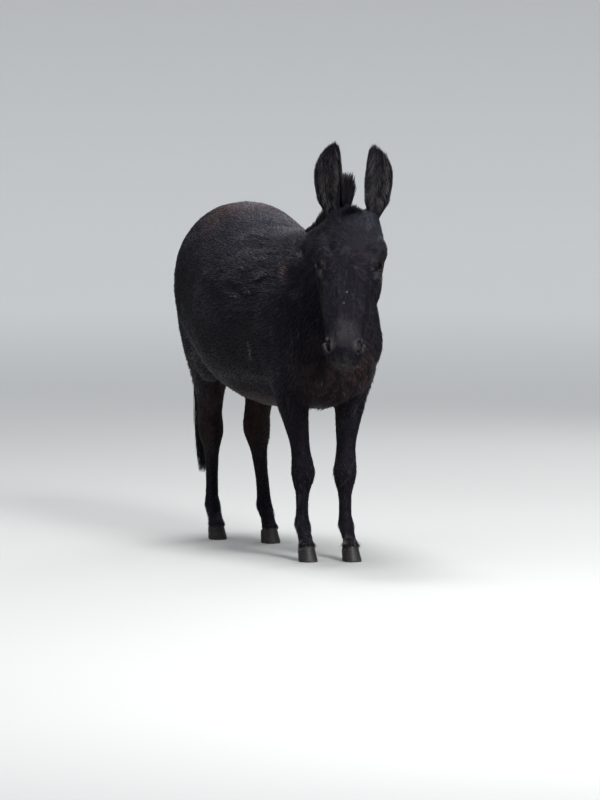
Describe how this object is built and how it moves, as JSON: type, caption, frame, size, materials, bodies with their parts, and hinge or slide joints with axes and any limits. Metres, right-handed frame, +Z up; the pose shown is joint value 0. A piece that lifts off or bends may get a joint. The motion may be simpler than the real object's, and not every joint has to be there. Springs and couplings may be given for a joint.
{
  "type": "miniature mule",
  "caption": "Life-size still model of a black-brown miniature mule standing with its head turned a little to its right.",
  "frame": {"origin": "middle of the animal's bounding box in X and Y, on the ground under its hooves", "axes": "+Z up, +Y from the nose towards the tail, +X towards the animal's left side"},
  "size_m": [0.4726, 1.4214, 1.2717],
  "materials": {
    "coat": "short black-brown hair, satin",
    "horn": "dark hoof horn, satin",
    "hair": "coarse black hair in locks",
    "eye": "wet dark eye, gloss"
  },
  "bodies": {
    "root": {"ear_left": "coat", "ear_right": "coat", "eye_left": "eye", "eye_right": "eye", "foreleg_left": "coat", "foreleg_right": "coat", "forelock": "hair", "head": "coat", "hindleg_left": "coat", "hindleg_right": "coat", "hoof_fore_left": "horn", "hoof_fore_right": "horn", "hoof_hind_left": "horn", "hoof_hind_right": "horn", "mane": "hair", "neck": "coat", "tail": "hair", "torso": "coat"}
  },
  "joints": []
}
